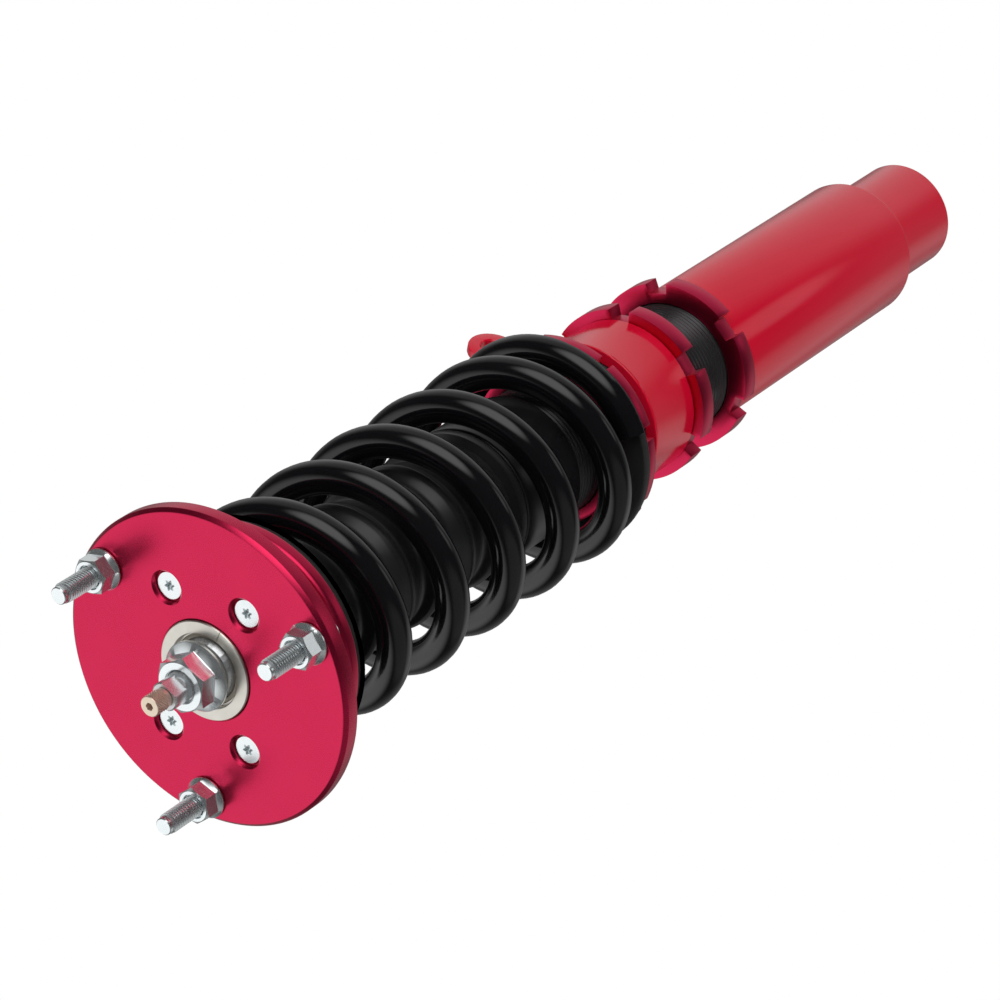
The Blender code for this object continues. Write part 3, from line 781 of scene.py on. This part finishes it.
def lobed(a):
    """Radius of the socket's wall at an angle."""
    return LOBE_R + LOBE_SWING * math.cos(LOBES * a)


def countersunk(node):
    """Flat-head screw with a lobed socket."""
    low, top = foot(node), head(node)
    layers = [(lobed, top), (SOCKET_LIP, top), (SCREW_HEAD_R - SCREW_EDGE, top),
              (SCREW_HEAD_R, top - SCREW_EDGE), (SCREW_HEAD_R, top - 0.45),
              (SCREW_R, top - 2.75), (SCREW_R, low + 0.5), (SCREW_R - 0.5, low),
              (0.05, low), (0.05, top - SOCKET_DEEP), (1.0, top - 2.6), (lobed, top - 2.0)]
    solid(node + "_socket", *loops(layers, 72, centre(node), math.radians(15)), zinc_plate,
          node, crease=28)


for node in SCREWS:
    countersunk(node)

# %% Studs and their nuts
STUD_CREST, STUD_ROOT, STUD_PITCH = 3.95, 3.35, 1.25
STUD_NECK, STUD_HEAD_R, STUD_HEAD, STUD_EDGE = 3.9, 6.4, 2.7, 0.35
for node, turn in zip(STUDS, (12, 40, 65)):
    low, high, at = foot(node), head(node), centre(node)
    shoulder = low + STUD_HEAD
    verts, faces = screw(STUD_CREST, STUD_ROOT, STUD_PITCH, PLATE_TOP - 1.0, high - 0.9, 40, at,
                         below=[(STUD_NECK, PLATE_TOP - 1.6), (STUD_NECK, shoulder),
                                (STUD_HEAD_R - 0.2, shoulder), (STUD_HEAD_R, shoulder - 0.3),
                                (STUD_HEAD_R, low + 0.3), (STUD_HEAD_R - 0.3, low), (0, low)],
                         above=[(STUD_ROOT, high - STUD_EDGE), (STUD_ROOT - STUD_EDGE, high),
                                (0, high)])
    stud = solid(node + "_threaded", verts, faces, zinc_plate, node, crease=28)
    # painted shade in the roots and lower flanks of the stud's thread
    shade_roots(stud, STUD_ROOT, PLATE_TOP, high - 1.4, zinc_root_painted_shade, at)
    flange_nut(node + "_flange_nut", node.replace("stud", "stud_nut"), 4.1, 12.6, 8.0, 1.8,
               turn, zinc_plate)

# %% [markdown]
# ## The rod end
#
# The rod passes through the spherical bearing and ends in a fine thread, two spanner
# flats and the damping adjuster. The silver ring that retains the bearing is split in
# two places, and its joints show as hairlines.

# %% Rod nut and spacers
ROD_HOLE = 6.0
flange_nut("rod_flange_nut", "rod_nut", ROD_HOLE, 19.2, 13.5, 2.4, 27.3, zinc_plate)
washer("upper_spacer_ring", "upper_spacer", ROD_HOLE, zinc_plate, sides=64)
washer("lower_spacer_ring", "lower_spacer", ROD_HOLE, zinc_plate, sides=64)

# %% Split bearing retainer
RING_LOW, RING_TOP = foot("bearing_retainer"), head("bearing_retainer")
RING_IN, RING_OUT, RING_ARC = 14.3, 19.3, 60
SPLITS, SPLIT, SPLIT_DEEP = [math.radians(d) for d in (8.0, 128.0)], math.radians(0.55), 0.35
angles = []
for k, start in enumerate(SPLITS):
    stop = SPLITS[(k + 1) % 2] + (FULL if k else 0.0)
    angles += [start + SPLIT * s for s in (-1.0, -0.5, 0.5, 1.0)]
    span = stop - start - 2.4 * SPLIT
    angles += [start + 1.2 * SPLIT + span * i / RING_ARC for i in range(RING_ARC + 1)]
angles = sorted(a % FULL for a in angles)


def ring_face(a):
    """Height of the ring's face, which drops at a joint."""
    near = any(abs((a - s + math.pi) % FULL - math.pi) < SPLIT * 0.75 for s in SPLITS)
    return RING_TOP - (SPLIT_DEEP if near else 0.0)


layers = [(RING_IN, RING_LOW), (RING_OUT, RING_LOW), (RING_OUT, RING_TOP - 0.4),
          (RING_OUT - 0.35, ring_face), (RING_IN + 0.45, ring_face), (RING_IN, RING_TOP - 0.45)]
solid("retainer_ring", *loops(layers, angles), nickel_ring, "bearing_retainer", crease=25)

# %% Threaded rod with flats
ROD_LOW, ROD_TOP, ROD_R = foot("piston_rod"), head("piston_rod"), reach("piston_rod")
THREAD_R, THREAD_DEPTH, THREAD_PITCH = 5.8, 0.5, 1.25
SHANK_LOW, SHANK_TOP, ROD_THREAD_LOW = 180.0, 471.7, 498.0
PISTON_SEAT_R, BORE_R, ROD_BORE_LOW, ROD_EDGE = 5.0, 1.7, 196.0, 0.6
FLATS_LOW, FLATS_R, FLAT_HALF = head("rod_nut") + 1.6, 5.5, 4.0
verts, faces = screw(THREAD_R, THREAD_R - THREAD_DEPTH, THREAD_PITCH, ROD_THREAD_LOW, FLATS_LOW,
                     below=[(THREAD_R, ROD_THREAD_LOW - 2.0), (THREAD_R, SHANK_TOP),
                            (ROD_R - ROD_EDGE, SHANK_TOP), (ROD_R, SHANK_TOP - 0.7),
                            (ROD_R, SHANK_LOW + ROD_EDGE), (ROD_R - ROD_EDGE, SHANK_LOW),
                            (PISTON_SEAT_R, SHANK_LOW), (PISTON_SEAT_R, ROD_LOW + ROD_EDGE),
                            (PISTON_SEAT_R - ROD_EDGE, ROD_LOW), (0, ROD_LOW)],
                     above=[(THREAD_R - THREAD_DEPTH, FLATS_LOW + 0.2),
                            (FLATS_R, FLATS_LOW + 0.6), (FLATS_R, ROD_TOP - 0.5),
                            (FLATS_R - 0.5, ROD_TOP), (BORE_R, ROD_TOP),
                            (BORE_R, ROD_BORE_LOW), (0, ROD_BORE_LOW)])
verts = [(max(-FLAT_HALF, min(FLAT_HALF, x)), y, z) if z > FLATS_LOW + 0.5 else (x, y, z)
         for x, y, z in verts]
rod = solid("rod_with_flats", verts, faces, ground_steel, "piston_rod", crease=28)
# painted shade in the roots and lower flanks of the rod's thread
shade_roots(rod, THREAD_R - THREAD_DEPTH, ROD_THREAD_LOW + 2.0, FLATS_LOW, zinc_root_painted_shade)

# %% [markdown]
# The adjuster knob is knurled: two families of grooves cross at a shallow angle. A
# fine grid whose radius dips where either family passes gives real diamonds.

# %% Adjuster knob
KNOB_LOW, KNOB_TOP, KNOB_R, KNOB_EDGE = foot("adjuster_knob"), head("adjuster_knob"), 4.05, 0.35
KNOB_BORE, COLLAR_R, SHOULDER_R, KEY_WIDE, KEY_DEEP = 1.7, 3.7, 3.85, 2.6, 2.9
KNURL_LOW, KNURL_TOP = KNOB_LOW + 2.0, KNOB_TOP - KNOB_EDGE
KNURL_COUNT, KNURL_DEPTH, GROOVE, ROWS = 22, 0.42, 0.6, 40


def knurl(z):
    """Radius by angle at one height: full on the diamonds, less in either groove."""
    twist = (z - KNURL_LOW) / KNOB_R

    def radius(a):
        waves = [abs(math.sin(KNURL_COUNT / 2 * (a + t))) for t in (twist, -twist)]
        return KNOB_R - KNURL_DEPTH * (min(waves) < GROOVE)

    return radius


key = hexagon(KEY_WIDE)
rows = [KNURL_LOW + (KNURL_TOP - KNURL_LOW) * i / ROWS for i in range(ROWS + 1)]
layers = [(KNOB_BORE, KNOB_LOW), (COLLAR_R - 0.15, KNOB_LOW), (COLLAR_R, KNOB_LOW + 0.15),
          (COLLAR_R, KNOB_LOW + 1.5), (SHOULDER_R, KNOB_LOW + 1.8)]
layers += [(knurl(z), z) for z in rows]
layers += [(SHOULDER_R, KNOB_TOP - 0.2), (COLLAR_R, KNOB_TOP), (lambda a: key(a) + 0.15, KNOB_TOP),
           (key, KNOB_TOP - 0.2), (key, KNOB_TOP - KEY_DEEP), (0.05, KNOB_TOP - KEY_DEEP - 0.1),
           (0.05, KNOB_LOW + 2.5), (KNOB_BORE, KNOB_LOW + 2.4)]
knob = solid("knurled_knob", *loops(layers, KNURL_COUNT * 6), copper_knurl, "adjuster_knob",
             crease=22)
knob.data.materials.append(cream_metal)
for face in knob.data.polygons:
    if face.normal.z > 0.9 and face.center.z > KNURL_TOP * MM:
        face.material_index = 1

# %% [markdown]
# ## Parts that stay as they are
#
# What is inside the damper is already the right shape. Each of those parts only
# needs its finish, which is given by name.

# %% Finishes for the remaining nodes
PLAIN = {
    "body_end_cap": black_oxide, "gland_nut": black_oxide, "bearing_housing": black_oxide,
    "piston_nut": ground_steel, "piston": ground_steel, "shim_stack": ground_steel,
    "pillow_ball": ground_steel, "bearing_race": nickel_ring,
    "rod_guide": bearing_bronze, "adjuster_needle": bearing_bronze,
    "floating_piston": slip_plastic, "piston_band": slip_plastic, "bearing_liner": slip_plastic,
    "rod_seal": pad_rubber, "bump_stop": foam,
}
for node, finish in PLAIN.items():
    mesh = frame["nodes"][node].data
    mesh.materials.clear()
    mesh.materials.append(finish)
print("finished", len(PLAIN), "inner parts")

# %% [markdown]
# ## The camera
#
# A long lens stands well back and looks down past the top plate towards the foot. It
# is rolled so that the strut lies across the frame. The three directions below are
# the lens's right, its up, and the way back from the strut to the lens.

# %% Camera
EYE, LENS, SENSOR = Vector((1.03791, -0.31905, 1.51073)), 151.6, 36.0
RIGHT, UP = Vector((0.43176, -0.70512, -0.56248)), Vector((0.62984, 0.68208, -0.37158))
BACK = RIGHT.cross(UP)
camera = bpy.data.objects.new("camera", bpy.data.cameras.new("camera"))
camera.data.lens, camera.data.sensor_width = LENS, SENSOR
axes = Matrix((RIGHT, UP, BACK)).transposed().to_4x4()
camera.matrix_world = Matrix.Translation(EYE) @ axes
bpy.context.scene.collection.objects.link(camera)
bpy.context.scene.camera = camera
bpy.context.scene.view_settings.view_transform = "Standard"
print("camera stands", round(EYE.length, 2), "m from the strut's foot")

# %% [markdown]
# ## A room of soft light
#
# Gloss only looks like gloss when there is something to mirror. The room is therefore
# a dome of seven wide, soft patches of light on a dim ground, each a dot product with
# its direction, eased at the rim. Two broad lamps that no gloss mirrors fill the matt
# and dyed surfaces, where a brighter dome would wash out the black coils.

# %% Dome of light
PATCHES = {  # shares of right, up and back; outer and inner angle; strength
    "paper behind": (0.10, 0.10, -1.00, 80, 45, 0.18),
    "ceiling": (0.12, 0.90, -0.42, 54, 30, 0.38),
    "far right": (0.72, -0.36, -0.60, 24, 10, 0.28),
    "low right": (0.60, -0.78, 0.20, 42, 22, 0.20),
    "small lamp at the right": (0.93, 0.36, -0.10, 12, 5, 0.60),
    "reflector at the left": (-0.83, -0.55, 0.09, 56, 24, 1.00),
    "soft box over the lens": (-0.05, 0.62, 0.78, 34, 14, 1.9),
}
DIM_GROUND = 0.05
world = bpy.data.worlds.new("soft_room")
world.use_nodes = True
room = world.node_tree
towards = Wire.node(room, "ShaderNodeTexCoord", {}, {}, 0)


def glow(right, up, back, edge, core, strength):
    """A round patch of light that fades between two angles from its axis."""
    axis = (RIGHT * right + UP * up + BACK * back).normalized()
    along = Wire.node(room, "ShaderNodeVectorMath", {"operation": "DOT_PRODUCT"},
                      {0: towards, 1: tuple(axis)}, 1)
    return Wire.node(room, "ShaderNodeMapRange", {"interpolation_type": "SMOOTHSTEP"},
                     {0: along, 1: math.cos(math.radians(edge)),
                      2: math.cos(math.radians(core)), 3: 0.0, 4: strength})


light = sum(glow(*patch) for patch in PATCHES.values()) + DIM_GROUND
room.links.new(light.socket, room.nodes["Background"].inputs["Color"])
bpy.context.scene.world = world
print("dome of", len(PATCHES), "patches")

# %% Fill lamps
FILLS = {"low_fill": (RIGHT * 0.7 - UP * 0.6 + BACK * 0.2, 1.1),
         "high_fill": (UP * 0.62 + BACK * 0.78, 0.8)}
FILL_SPREAD = math.radians(60)
for name, (towards_lamp, energy) in FILLS.items():
    lamp = bpy.data.objects.new(name, bpy.data.lights.new(name, "SUN"))
    lamp.data.energy, lamp.data.angle, lamp.visible_glossy = energy, FILL_SPREAD, False
    lamp.rotation_euler = towards_lamp.to_track_quat("Z", "Y").to_euler()
    bpy.context.scene.collection.objects.link(lamp)

# %% [markdown]
# The floor and the far wall are one sheet of white paper, a closed bell that glows
# evenly. Only the lens sees it, so it hides the dome without lighting the strut.

# %% Paper floor and wall
PAPER_R = 8000.0
BLACK, WHITE = (0.0, 0.0, 0.0, 1.0), (1.0, 1.0, 1.0, 1.0)
paper = Finish("white_paper", Base_Color=BLACK, Roughness=1.0, Specular_IOR_Level=0.0,
               Emission_Color=WHITE, Emission_Strength=1.0)
bell = solid("paper_bell", *spin([(0, 0)] + fillet(0, 0, PAPER_R, 0, 90, 24), 96), paper.material)
bell.visible_diffuse = bell.visible_glossy = False
bell.visible_transmission = bell.visible_shadow = False
